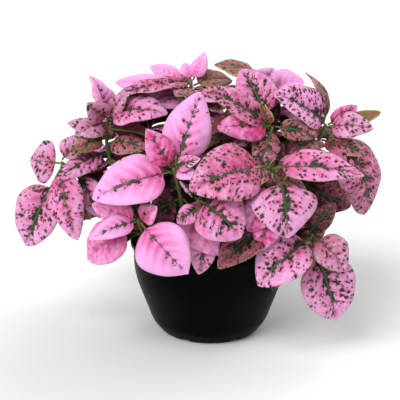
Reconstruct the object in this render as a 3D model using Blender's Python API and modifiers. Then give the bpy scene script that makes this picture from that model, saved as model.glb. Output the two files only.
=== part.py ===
"""Potted polka dot plant: a short black nursery pot, its soil, fifteen seedling stems and their main leaves.

The origin is the centre of the pot's flat base, +Z is up and -Y is the plant's front. Lengths are written in
millimetres and become metres where geometry is made. Each stem rises from the soil to its crown, and each
leaf reaches out from a node on its stem.
"""

import math
from collections import namedtuple

import bmesh
import bpy
from mathutils import Vector

MM = 0.001
GAP = 0.3  # clearance between pieces that touch

# Pot: radii and heights of the outer wall, from the rim down to the base.
POT_HEIGHT = 66
RIM_RADIUS = 55.5
RIM_DEPTH = 3
RIM_ROUND = 0.6
SIDE_RADIUS = 53.3  # upright upper part of the wall
SIDE_BOTTOM = 43
FOOT_RADIUS = 40.5
FOOT_HEIGHT = 8
HEEL_RADIUS = 35
HEEL_HEIGHT = 1.2
BASE_RADIUS = 33
WALL = 1.2
TURN_STEPS = 48
MERGE_DISTANCE = 0.01  # closes the turned form on its axis
SOIL_TOP = 58

# Drain slots: arches cut by round bars that lie along the pot's radius, low in its foot.
DRAIN_COUNT = 6
DRAIN_RADIUS = 5
DRAIN_CENTRE_Z = -1.5
DRAIN_START = 31
DRAIN_END = 45
DRAIN_SIDES = 16

STEM_RADIUS = 1.6
STEM_POINTS = 9
STEM_ROUNDING = 2
STEM_FOOT = 2  # straight stretch that stands square on the soil
NODE_STEP = 0.05  # share of a stem below a node that gives its direction there

# Leaf blade.
STALK_HALF = 0.7
LEAF_THICKNESS = 0.5
LEAF_ROWS = 8
LEAF_COLUMNS = 4
OUTLINE_SKEW = 0.7
CUP = 0.5
CURL = 0.55

# Base colour and roughness of each kind of piece.
COLOURS = {
    "pot": ((0.006, 0.006, 0.007), 0.45),
    "soil": ((0.03, 0.018, 0.01), 0.95),
    "stem": ((0.16, 0.2, 0.04), 0.6),
    "leaf": ((0.85, 0.25, 0.5), 0.5),
}

# A leaf: how far up the stem its node is (0 to 1), its reach from the stem to the tip (x, y, z), its width,
# the way its upper face looks (x, y, z), how far its middle bows above a straight line and how long its stalk
# is, both as shares of its length, and its taper, which is higher for a more pointed blade.
# A shoot: where its stem leaves the soil, the bend that it leans towards, its crown, and its leaves.
Leaf = namedtuple("Leaf", "node reach width face bow stalk taper", defaults=(0.1, 0.12, 0.68))
Shoot = namedtuple("Shoot", "root bend crown leaves")
SHOOTS = {
    "front_left": Shoot((-14, -26), (-18, -40, 104), (-24, -48, 130), (
        Leaf(0.96, (-51, -14, -14), 34, (-0.1, -1, 0.7)),
        Leaf(0.98, (16, 17, 47), 31, (0, -1, 0.5), 0.06),
        Leaf(1.0, (-16, -3, 27), 19, (0.2, -1, 0.3), 0.08, 0.1, 0.9),
        Leaf(0.6, (25, 8, -34), 27, (0.3, -1, 0.3), 0.1, 0.12, 0.8),
    )),
    "low_left": Shoot((-26, -28), (-46, -50, 84), (-47, -62, 99), (
        Leaf(0.97, (31, -4, -34), 36, (-0.4, -1, 0.6), 0.1, 0.12, 0.88),
        Leaf(0.98, (-32, 6, -28), 27, (-0.3, -1, 0.3), 0.14, 0.2),
    )),
    "low_centre": Shoot((2, -34), (0, -54, 96), (-8, -62, 113), (
        Leaf(0.99, (26, -12, -21), 36, (0.1, -1, 0.7), 0.16, 0.12, 0.6),
    )),
    "front_right": Shoot((20, -22), (34, -44, 110), (38, -50, 132), (
        Leaf(1.0, (-50, -20, -10), 40, (0, -1, 0.8), 0.12),
        Leaf(0.97, (60, -4, -4), 25, (0, -0.8, 0.9), 0.1, 0.12, 0.8),
    )),
    "lower_right": Shoot((28, -30), (44, -54, 94), (45, -58, 123), (
        Leaf(0.96, (-19, -4, -29), 22, (-0.2, -1, 0.3)),
        Leaf(1.0, (4, -20, -30), 42, (0, -1, 0.7), 0.22, 0.04, 0.6),
        Leaf(0.5, (-34, -20, -24), 24, (0, -1, 1)),
    )),
    "low_right": Shoot((32, -20), (58, -44, 80), (67, -55, 86), (
        Leaf(1.0, (-35, -12, -29), 36, (-0.3, -1, 0.7), 0.12),
        Leaf(1.0, (20, -8, -20), 24, (0.3, -1, 0.7), 0.18),
        Leaf(0.9, (19, 2, -58), 37, (0.2, -1, 0.3), 0.08, 0.22),
    )),
    "far_left": Shoot((-30, -2), (-76, -2, 104), (-102, -8, 123), (
        Leaf(1.0, (-21, 10, -1), 29, (0, -1, 0.4), 0.08),
        Leaf(0.98, (12, -23, -46), 25, (-0.4, -1, 0.3), 0.1),
        Leaf(0.96, (-27, 2, -58), 33, (-0.2, -1, 0.4), 0.1, 0.25),
    )),
    "upper_left": Shoot((-24, 4), (-80, -4, 112), (-70, 12, 150), (
        Leaf(1.0, (40, -20, 7), 29, (0, -0.8, 1), 0.14),
        Leaf(1.0, (-11, 6, 27), 34, (2.4, -1, 0.3), 0.06),
        Leaf(0.72, (-31, -25, -13), 18, (-0.3, -1, 0.8), 0.06),
    )),
    "top_left": Shoot((-10, 12), (-14, 18, 130), (-13, 20, 174), (
        Leaf(0.98, (-49, -12, -7), 30, (0, -0.15, 1), 0.04, 0.02, 0.55),
        Leaf(1.0, (8, 8, 18), 12, (-0.4, -1, 0.3), 0.02),
        Leaf(0.96, (27, 10, 1), 25, (0, -0.3, 1)),
    )),
    "top_right": Shoot((12, 10), (30, 16, 130), (36, 18, 172), (
        Leaf(1.0, (-31, 0, 13), 22, (0, -0.3, 1), 0.16, 0.04),
        Leaf(0.98, (7, -10, 15), 18, (0, -1, 0.6), 0.12),
        Leaf(0.94, (28, -3, 7), 21, (0, -0.7, 1), 0.12),
    )),
    "upper_right": Shoot((16, -6), (36, -12, 120), (42, -15, 150), (
        Leaf(1.0, (-36, -22, 4), 22, (0, -1, 0.8), 0.06),
        Leaf(1.0, (-19, 22, 34), 28, (0.2, -1, 0.5), 0.04, 0.2),
    )),
    "far_right": Shoot((28, 4), (66, 6, 110), (80, 8, 146), (
        Leaf(1.0, (-36, -19, 25), 28, (-0.1, -0.9, 0.8)),
        Leaf(0.98, (30, -12, 2), 20, (0, -1, 0.9)),
        Leaf(0.94, (28, -4, -59), 36, (0.6, -1, 0.6), 0.28, 0.12, 0.5),
        Leaf(0.5, (34, -28, -10), 26, (0, -1, 0.2), 0.06, 0.2),
    )),
    "back_left": Shoot((-18, 26), (-46, 52, 100), (-54, 58, 128), (
        Leaf(1.0, (-38, 26, -10), 34, (-0.4, 0.8, 1), 0.12),
        Leaf(0.97, (20, 34, -26), 32, (0.2, 1, 0.7), 0.12),
        Leaf(0.85, (-32, -18, -22), 26, (-1, 0.1, 0.7)),
    )),
    "back_centre": Shoot((2, 30), (8, 60, 110), (10, 66, 134), (
        Leaf(1.0, (-22, 22, 22), 32, (0, 0.2, 1)),
        Leaf(0.98, (26, 26, 8), 32, (0.2, 0.6, 1), 0.12),
        Leaf(0.85, (-6, 28, -36), 36, (0, 1, 0.5), 0.12),
        Leaf(0.95, (-30, -6, 14), 26, (0, 0.2, 1)),
    )),
    "back_right": Shoot((22, 22), (56, 44, 98), (64, 50, 122), (
        Leaf(1.0, (36, 24, -4), 32, (0.4, 0.7, 1), 0.12),
        Leaf(0.97, (-6, 38, -24), 34, (0, 1, 0.8), 0.12),
        Leaf(0.85, (34, -6, -34), 28, (1, 0.3, 0.6), 0.12),
    )),
}


def clear_scene():
    for obj in list(bpy.data.objects):
        bpy.data.objects.remove(obj, do_unlink=True)


def new_collection(name):
    collection = bpy.data.collections.new(name)
    bpy.context.scene.collection.children.link(collection)
    return collection


def make_materials():
    """One Principled BSDF for each kind of piece."""
    materials = {}
    for name, (colour, roughness) in COLOURS.items():
        material = bpy.data.materials.new(name)
        material.use_nodes = True
        shader = material.node_tree.nodes["Principled BSDF"]
        shader.inputs["Base Color"].default_value = (*colour, 1)
        shader.inputs["Roughness"].default_value = roughness
        shader.inputs["Metallic"].default_value = 0
        materials[name] = material
    return materials


def add_object(name, data, material, collection):
    obj = bpy.data.objects.new(name, data)
    data.materials.append(material)
    collection.objects.link(obj)
    return obj


def turned(name, profile, material, collection):
    """A solid of revolution; the profile (radius, height) runs from the inside over the top and down."""
    mesh = bpy.data.meshes.new(name)
    points = [(radius * MM, 0, height * MM) for radius, height in profile]
    mesh.from_pydata(points, [(i, i + 1) for i in range(len(points) - 1)], [])
    obj = add_object(name, mesh, material, collection)
    screw = obj.modifiers.new("turn", "SCREW")
    screw.steps = screw.render_steps = TURN_STEPS
    screw.use_merge_vertices = True
    screw.merge_threshold = MERGE_DISTANCE * MM
    return obj


def pot_outer():
    """The pot's outer wall, from the rim's edge down to the base."""
    return (
        (RIM_RADIUS - RIM_ROUND, POT_HEIGHT),
        (RIM_RADIUS, POT_HEIGHT - RIM_ROUND),
        (RIM_RADIUS, POT_HEIGHT - RIM_DEPTH),
        (SIDE_RADIUS, POT_HEIGHT - RIM_DEPTH - RIM_ROUND),
        (SIDE_RADIUS, SIDE_BOTTOM),
        (FOOT_RADIUS, FOOT_HEIGHT),
        (HEEL_RADIUS, HEEL_HEIGHT),
        (BASE_RADIUS, 0),
    )


def pot_inner(clearance=0):
    """The pot's inner wall, from its floor up to the rim, drawn in by a clearance."""
    inset = WALL + clearance
    return (
        (HEEL_RADIUS - inset, WALL + clearance),
        (FOOT_RADIUS - inset, FOOT_HEIGHT),
        (SIDE_RADIUS - inset, SIDE_BOTTOM),
        (SIDE_RADIUS - inset, SOIL_TOP),
        (SIDE_RADIUS - inset, POT_HEIGHT),
    )


def make_pot(material, parts, cutters):
    profile = ((0, WALL), *pot_inner(), *pot_outer(), (0, 0))
    pot = turned("pot", profile, material, parts)
    pot.data.shade_smooth()
    for i in range(DRAIN_COUNT):
        angle = math.tau * (i + 0.5) / DRAIN_COUNT - math.pi / 2
        cutter = make_drain_cutter(f"drain_cutter_{i + 1}", angle, cutters)
        cut = pot.modifiers.new(cutter.name, "BOOLEAN")
        cut.object = cutter


def make_drain_cutter(name, angle, cutters):
    """A round bar along the pot's radius that cuts one arched drain slot through its foot."""
    mesh = bpy.data.meshes.new(name)
    form = bmesh.new()
    bmesh.ops.create_cone(form, cap_ends=True, segments=DRAIN_SIDES, depth=(DRAIN_END - DRAIN_START) * MM,
                          radius1=DRAIN_RADIUS * MM, radius2=DRAIN_RADIUS * MM)
    form.to_mesh(mesh)
    form.free()
    cutter = bpy.data.objects.new(name, mesh)
    middle = (DRAIN_START + DRAIN_END) / 2
    cutter.location = (middle * MM * math.cos(angle), middle * MM * math.sin(angle), DRAIN_CENTRE_Z * MM)
    cutter.rotation_euler = (0, math.pi / 2, angle)
    cutter.hide_render = True
    cutter.display_type = "WIRE"
    cutters.objects.link(cutter)
    return cutter


def make_soil(material, parts):
    """The root ball: it fills the pot to a flat top, clear of the wall by the gap."""
    wall = [point for point in pot_inner(GAP) if point[1] <= SOIL_TOP]
    turned("soil", ((0, SOIL_TOP), *reversed(wall), (0, WALL + GAP)), material, parts)


def stem_point(shoot, share):
    """A point on a stem's centre line, from the top of its foot (0) to the crown (1)."""
    root = Vector((*shoot.root, SOIL_TOP + GAP + STEM_FOOT))
    bend, crown = Vector(shoot.bend), Vector(shoot.crown)
    return root.lerp(bend, share).lerp(bend.lerp(crown, share), share)


def make_stem(name, shoot, material, parts):
    curve = bpy.data.curves.new(name, "CURVE")
    curve.dimensions = "3D"
    curve.bevel_depth = STEM_RADIUS * MM
    curve.bevel_resolution = STEM_ROUNDING
    curve.use_fill_caps = True
    line = [stem_point(shoot, i / (STEM_POINTS - 1)) for i in range(STEM_POINTS)]
    line.insert(0, line[0] - Vector((0, 0, STEM_FOOT)))
    spline = curve.splines.new("POLY")
    spline.points.add(STEM_POINTS)
    for point, place in zip(spline.points, line):
        point.co = (*place * MM, 1)
    add_object(name, curve, material, parts)


def leaf_base(shoot, leaf):
    """Where a leaf stalk starts: beside its stem, on the side it grows towards."""
    node = stem_point(shoot, leaf.node)
    along = (node - stem_point(shoot, leaf.node - NODE_STEP)).normalized()
    reach = Vector(leaf.reach)
    outward = reach - along * reach.dot(along)
    return node + outward.normalized() * (STEM_RADIUS + GAP)


def half_width(share, leaf):
    """Half the leaf's width: a narrow stalk, then an ovate blade with a blunt tip."""
    blade = min(1.0, max(0.0, (share - leaf.stalk) / (1 - leaf.stalk)))
    outline = max(0.0, math.sin(math.pi * blade**OUTLINE_SKEW))
    return STALK_HALF + leaf.width / 2 * outline**leaf.taper


def make_leaf(name, shoot, leaf, material, parts):
    base, reach = leaf_base(shoot, leaf), Vector(leaf.reach)
    side = reach.cross(Vector(leaf.face)).normalized()
    upward = side.cross(reach.normalized())
    height = 4 * leaf.bow * reach.length
    form = bmesh.new()
    bmesh.ops.create_grid(form, x_segments=LEAF_COLUMNS, y_segments=LEAF_ROWS, size=1)
    for vertex in form.verts:
        across, along = vertex.co.x, (vertex.co.y + 1) / 2
        middle = base + reach * along + upward * height * along * (1 - along)
        lift = side.cross((reach + upward * height * (1 - 2 * along)).normalized())
        half = half_width(along, leaf)
        rise = half * (CUP * abs(across) - CURL * across**2)
        vertex.co = (middle + side * across * half + lift * rise) * MM
    mesh = bpy.data.meshes.new(name)
    form.to_mesh(mesh)
    form.free()
    obj = add_object(name, mesh, material, parts)
    solidify = obj.modifiers.new("thickness", "SOLIDIFY")
    solidify.thickness = LEAF_THICKNESS * MM
    solidify.offset = 0


def main():
    clear_scene()
    parts = new_collection("potted_polka_dot_plant")
    cutters = new_collection("cutters")
    materials = make_materials()
    make_pot(materials["pot"], parts, cutters)
    make_soil(materials["soil"], parts)
    for place, shoot in SHOOTS.items():
        make_stem(f"{place}_stem", shoot, materials["stem"], parts)
        for i, leaf in enumerate(shoot.leaves):
            make_leaf(f"{place}_leaf_{i + 1}", shoot, leaf, materials["leaf"], parts)


main()
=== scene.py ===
"""Looks of the potted polka dot plant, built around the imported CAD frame.

Every CAD leaf and stem is replaced by a finer one on the same curve. The younger leaves that the CAD leaves
out grow from the same stems and from a few more. Lengths are in millimetres and become metres in meshes.
"""

import itertools
import math
import random
from collections import namedtuple

import bmesh
import bpy
import numpy as np
from mathutils import Matrix, Vector, noise
from mathutils.bvhtree import BVHTree


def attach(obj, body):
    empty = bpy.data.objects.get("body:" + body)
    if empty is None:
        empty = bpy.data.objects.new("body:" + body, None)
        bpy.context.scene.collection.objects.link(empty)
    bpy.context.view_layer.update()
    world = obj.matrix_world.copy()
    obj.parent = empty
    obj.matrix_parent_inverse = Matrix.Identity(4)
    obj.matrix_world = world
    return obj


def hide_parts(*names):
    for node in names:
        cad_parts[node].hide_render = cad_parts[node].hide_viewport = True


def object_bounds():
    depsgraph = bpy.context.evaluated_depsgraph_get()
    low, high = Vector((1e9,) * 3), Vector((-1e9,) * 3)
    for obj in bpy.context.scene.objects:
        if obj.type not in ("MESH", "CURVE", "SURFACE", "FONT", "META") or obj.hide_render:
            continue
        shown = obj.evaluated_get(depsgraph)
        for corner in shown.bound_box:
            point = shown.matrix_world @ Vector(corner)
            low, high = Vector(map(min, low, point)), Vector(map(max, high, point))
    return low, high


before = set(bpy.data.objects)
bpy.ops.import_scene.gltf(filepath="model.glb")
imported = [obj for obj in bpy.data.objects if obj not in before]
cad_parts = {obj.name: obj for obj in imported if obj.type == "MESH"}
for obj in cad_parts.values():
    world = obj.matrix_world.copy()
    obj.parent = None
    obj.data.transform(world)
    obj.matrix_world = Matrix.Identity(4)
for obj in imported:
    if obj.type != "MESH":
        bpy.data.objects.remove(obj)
cad_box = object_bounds()

MM = 0.001
GAP = 0.3  # between a leaf, its stem and the soil
SOIL_TOP = 58
RIM_HEIGHT = 66

# Camera: the point it looks at, how steeply it looks down, its distance and its lens.
VIEW_TARGET = (-6.8, 0, 93.6)
VIEW_RISE = math.radians(17)
VIEW_DISTANCE = 900
VIEW_LENS = 116.5

# Light: the world's strength, and two suns, each with its place, its softness in degrees and its power.
WORLD_STRENGTH = 0.49
KEY_SUN = ((-500, -650, 900), 40, 2.2)
BACK_SUN = ((600, 700, 800), 50, 1.3)
SUN_TARGET = (0, 0, 100)
FLOOR_REACH = 4000

# The pot, on the CAD's outline with its corners rounded: (radius, height, how far the corner is rounded) from
# the middle of its floor, up the inside, over the rolled rim and down to the recess under its base.
POT_PROFILE = (
    (0, 1.2, 0), (33.8, 1.2, 2), (39.3, 8, 4), (52.1, 43, 10), (52.1, RIM_HEIGHT, 0.8),
    (55.5, RIM_HEIGHT, 1.4), (55.5, 63, 0.5), (53.3, 62.4, 0.5), (53.3, 43, 10), (40.5, 8, 4),
    (35, 1.2, 1.2), (33, 0, 0.6), (28, 0, 0.4), (27, 0.4, 0.4), (0, 0.4, 0),
)
CORNER_STEPS = 7
POT_STEPS = 144
SHARP_ANGLE = 40
SLOT_COUNT = 6
SLOT_RADIUS = 5
SLOT_HEIGHT = -1.5
SLOT_START = 31
SLOT_END = 45
SLOT_SIDES = 32

# Soil: a crumbled surface that stays clear of the pot's wall, with loose grains on it.
SOIL_WALL = ((51.8, SOIL_TOP), (51.8, 53), (50.9, 43), (39, 8), (33.5, 1.5), (0, 1.5))
SOIL_RINGS = 40
SOIL_STEPS = 128
SOIL_ROUGHNESS = 1.6
CLOD_SCALE = 0.12
GRAIN_COUNT = 420
GRAIN_SEED = 3
GRAIN_MARGIN = 3
GRAIN_ROUGHNESS = 0.3
GRAIN_TILT = 0.3
BARK_SHARE = 0.6
BARK_SIZES = ((0.6, 2.8), (0.4, 0.9), (0.3, 0.5))
CRUMB_SIZES = (0.5, 1.2)
PERLITE_SHARE = 0.15
PERLITE_SIZES = (0.5, 1.3)

# Stems, on the CAD's centre lines; here they thin towards the crown and swell at each leaf node.
STEM_RADIUS = 1.6
STEM_FOOT = 2
NODE_STEP = 0.05  # how far below a node the stem's direction is taken from
STEM_RINGS = 28
STEM_SIDES = 12
STEM_TIP = 0.6  # radius at the crown, as a share of the radius at the soil
NODE_SWELL = 0.3
NODE_LENGTH = 0.02

# Leaf blades, with the CAD's outline and curl; CUP_RANGE varies the CAD's cup. A grid is the rows and columns
# of points on one face.
MAIN_GRID = (44, 17)
YOUNG_GRID = (22, 11)
ROUGH_GRID = (7, 5)  # for clearance tests
COLUMN_CROWDING = 1.2  # above 1, columns stand closer together at the midrib
STALK_HALF = 0.7
OUTLINE_SKEW = 0.7
CUP = 0.5
CUP_RANGE = (0.6, 1.7)
CURL = 0.55
THICKNESS = 0.35
EDGE_THINNING = 0.5
FLATTENING = 4  # how soon the stalk flattens into the blade
TWIST = 0.25  # of the tip to either side, in radians
RIDGE = 0.9  # how far the midrib stands out under the blade
RIDGE_HALF = 1.1
TIP_HALF = 0.15
VEIN_COUNT = 6
VEIN_SLANT = 0.3
VEIN_CURVE = 1.3
QUILT = 0.035  # bulge between veins, as a share of half the width
WAVE = 0.05
WAVE_COUNT = 2.2
STALK_ROWS = 5
SEED_SPACING = 37  # keeps each leaf's pattern its own
HALF_OFFSET = 19  # keeps one half of a leaf from mirroring the other half's spots

# Spots: how far apart they stand, their least and greatest radius as shares of that, and how many of their
# places carry one.
LARGE_SPOTS = (4.2, 0.1, 0.36, 0.95)
SMALL_SPOTS = (2.3, 0.16, 0.46, 0.75)

# Looks: how thick the leaf is with spots, how strong its green veins are, how pale its pink is and how brown
# it is. A paleness below 0 gives dark green patches: partly the darker green of older leaves, partly painted
# shade.
LOOKS = {
    "plain": (0, 0.1, 1, 0),
    "rosy": (0.04, 0.6, 0.05, 0),
    "bare": (0, 0.55, 1, 0),
    "clean": (0.03, 0.9, 0.9, 0),
    "veined": (0.25, 1, 0.65, 0.1),
    "freckled": (0.6, 0.9, 0.6, 0.15),
    "blotched": (0.6, 1.9, 0.85, 0.25),
    "spotted": (0.95, 1.2, 0.35, 0.25),
    "mottled": (1, 1, 0.1, 0.7),
    "mauve": (0.02, 0.25, 0.45, 0.1),
    "shaded": (1, 1.8, 0.3, 0.35),
    "bold": (0.2, 2.2, 0.5, 0.15),
    "lilac": (1, 1.2, 1.25, 0.1),
    "dusty": (0.75, 0.5, 1.1, 0.35),
    "russet": (0.5, 0.4, 0.8, 0.5),
    # The dark look is partly the darker green of older leaves and partly painted shade on leaves deep in the
    # clump.
    "dark": (1, 2, -0.7, 0.15),
    "brown": (0.4, 0.5, 0.1, 1),
    "withered": (0, 0, 0.3, 2.5),
}

# A leaf: how far up the stem its node is (0 to 1), its reach from the stem to the tip (x, y, z), its width,
# the way its upper face looks, its look, how far its middle bows above a straight line and how long
# its stalk is, both as shares of its length, and its taper, which is higher for a more pointed leaf. A sprout
# is a young leaf, given by the place of its tip. A shoot: where its stem leaves the soil, the bend that it
# leans towards, its crown, and its leaves.
Leaf = namedtuple("Leaf", "node reach width face look bow stalk taper", defaults=(0.1, 0.12, 0.68))
Sprout = namedtuple("Sprout", "node tip width face look bow stalk taper", defaults=(0.1, 0.1, 0.68))
Shoot = namedtuple("Shoot", "root bend crown leaves", defaults=[()])
SHOOTS = {
    "front_left": Shoot((-14, -26), (-18, -40, 104), (-24, -48, 130), (
        Leaf(0.96, (-51, -14, -14), 34, (-0.1, -1, 0.7), "clean"),
        Leaf(0.98, (16, 17, 47), 31, (0, -1, 0.5), "clean", 0.06),
        Leaf(1.0, (-16, -3, 27), 19, (0.2, -1, 0.3), "rosy", 0.08, 0.1, 0.9),
        Leaf(0.6, (25, 8, -34), 27, (0.3, -1, 0.3), "mauve", 0.1, 0.12, 0.8),
    )),
    "low_left": Shoot((-26, -28), (-46, -50, 84), (-47, -62, 99), (
        Leaf(0.97, (31, -4, -34), 36, (-0.4, -1, 0.6), "bare", 0.1, 0.12, 0.88),
        Leaf(0.98, (-32, 6, -28), 27, (-0.3, -1, 0.3), "mauve", 0.14, 0.2),
    )),
    "low_centre": Shoot((2, -34), (0, -54, 96), (-8, -62, 113), (
        Leaf(0.99, (26, -12, -21), 36, (0.1, -1, 0.7), "bold", 0.16, 0.12, 0.6),
    )),
    "front_right": Shoot((20, -22), (34, -44, 110), (38, -50, 132), (
        Leaf(1.0, (-50, -20, -10), 40, (0, -1, 0.8), "spotted", 0.12),
        Leaf(0.97, (60, -4, -4), 25, (0, -0.8, 0.9), "freckled", 0.1, 0.12, 0.8),
    )),
    "lower_right": Shoot((28, -30), (44, -54, 94), (45, -58, 123), (
        Leaf(0.96, (-19, -4, -29), 22, (-0.2, -1, 0.3), "rosy"),
        Leaf(1.0, (4, -20, -30), 42, (0, -1, 0.7), "blotched", 0.22, 0.04, 0.6),
        Leaf(0.5, (-34, -20, -24), 24, (0, -1, 1), "dark"),
    )),
    "low_right": Shoot((32, -20), (58, -44, 80), (67, -55, 86), (
        Leaf(1.0, (-35, -12, -29), 36, (-0.3, -1, 0.7), "blotched", 0.12),
        Leaf(1.0, (20, -8, -20), 24, (0.3, -1, 0.7), "russet", 0.18),
        Leaf(0.9, (19, 2, -58), 37, (0.2, -1, 0.3), "blotched", 0.08, 0.22),
    )),
    "far_left": Shoot((-30, -2), (-76, -2, 104), (-102, -8, 123), (
        Leaf(1.0, (-21, 10, -1), 29, (0, -1, 0.4), "dusty", 0.08),
        Leaf(0.98, (12, -23, -46), 25, (-0.4, -1, 0.3), "freckled", 0.1),
        Leaf(0.96, (-27, 2, -58), 33, (-0.2, -1, 0.4), "blotched", 0.1, 0.25),
    )),
    "upper_left": Shoot((-24, 4), (-80, -4, 112), (-70, 12, 150), (
        Leaf(1.0, (40, -20, 7), 29, (0, -0.8, 1), "freckled", 0.14),
        Leaf(1.0, (-11, 6, 27), 34, (2.4, -1, 0.3), "clean", 0.06),
        Leaf(0.72, (-31, -25, -13), 18, (-0.3, -1, 0.8), "freckled", 0.06),
    )),
    "top_left": Shoot((-10, 12), (-14, 18, 130), (-13, 20, 174), (
        Leaf(0.98, (-49, -12, -7), 30, (0, -0.15, 1), "spotted", 0.04, 0.02, 0.55),
        Leaf(1.0, (8, 8, 18), 12, (-0.4, -1, 0.3), "plain", 0.02),
        Leaf(0.96, (27, 10, 1), 25, (0, -0.3, 1), "brown"),
    )),
    "top_right": Shoot((12, 10), (30, 16, 130), (36, 18, 172), (
        Leaf(1.0, (-31, 0, 13), 22, (0, -0.3, 1), "brown", 0.16, 0.04),
        Leaf(0.98, (7, -10, 15), 18, (0, -1, 0.6), "bare", 0.12),
        Leaf(0.94, (28, -3, 7), 21, (0, -0.7, 1), "plain", 0.12),
    )),
    "upper_right": Shoot((16, -6), (36, -12, 120), (42, -15, 150), (
        Leaf(1.0, (-36, -22, 4), 22, (0, -1, 0.8), "rosy", 0.06),
        Leaf(1.0, (-19, 22, 34), 28, (0.2, -1, 0.5), "bold", 0.04, 0.2),
    )),
    "far_right": Shoot((28, 4), (66, 6, 110), (80, 8, 146), (
        Leaf(1.0, (-36, -19, 25), 28, (-0.1, -0.9, 0.8), "lilac"),
        Leaf(0.98, (30, -12, 2), 20, (0, -1, 0.9), "dusty"),
        Leaf(0.94, (28, -4, -59), 36, (0.6, -1, 0.6), "shaded", 0.28, 0.12, 0.5),
        Leaf(0.5, (34, -28, -10), 26, (0, -1, 0.2), "dark", 0.06, 0.2),
    )),
    "back_left": Shoot((-18, 26), (-46, 52, 100), (-54, 58, 128), (
        Leaf(1.0, (-38, 26, -10), 34, (-0.4, 0.8, 1), "freckled", 0.12),
        Leaf(0.97, (20, 34, -26), 32, (0.2, 1, 0.7), "clean", 0.12),
        Leaf(0.85, (-32, -18, -22), 26, (-1, 0.1, 0.7), "spotted"),
    )),
    "back_centre": Shoot((2, 30), (8, 60, 110), (10, 66, 134), (
        Leaf(1.0, (-22, 22, 22), 32, (0, 0.2, 1), "veined"),
        Leaf(0.98, (26, 26, 8), 32, (0.2, 0.6, 1), "spotted", 0.12),
        Leaf(0.85, (-6, 28, -36), 36, (0, 1, 0.5), "freckled", 0.12),
        Leaf(0.95, (-30, -6, 14), 26, (0, 0.2, 1), "spotted"),
    )),
    "back_right": Shoot((22, 22), (56, 44, 98), (64, 50, 122), (
        Leaf(1.0, (36, 24, -4), 32, (0.4, 0.7, 1), "spotted", 0.12),
        Leaf(0.97, (-6, 38, -24), 34, (0, 1, 0.8), "freckled", 0.12),
        Leaf(0.85, (34, -6, -34), 28, (1, 0.3, 0.6), "veined", 0.12),
    )),
}

# Shoots behind, at the sides and inside the clump, where the CAD has none; all their leaves are grown.
EXTRA_SHOOTS = {
    "side_left": Shoot((-30, 10), (-70, 26, 92), (-88, 34, 112)),
    "behind_left": Shoot((-22, 30), (-34, 66, 100), (-34, 76, 122)),
    "behind_right": Shoot((14, 32), (32, 62, 108), (38, 70, 124)),
    "side_right": Shoot((32, 14), (78, 30, 96), (90, 36, 116)),
    "under_left": Shoot((-34, 20), (-66, 52, 70), (-76, 58, 84)),
    "under_centre": Shoot((-6, 38), (-8, 72, 78), (-10, 80, 92)),
    "under_right": Shoot((30, 26), (60, 58, 76), (74, 62, 88)),
    "inner_left": Shoot((-8, -12), (-14, -12, 90), (-22, -14, 116)),
    "inner_right": Shoot((8, -14), (12, -16, 86), (18, -20, 108)),
    "middle": Shoot((-2, 4), (2, 10, 120), (4, 14, 146)),
    "middle_left": Shoot((-12, -4), (-40, 8, 118), (-44, 14, 140)),
    "middle_right": Shoot((10, -2), (52, 20, 118), (56, 24, 138)),
}

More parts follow.
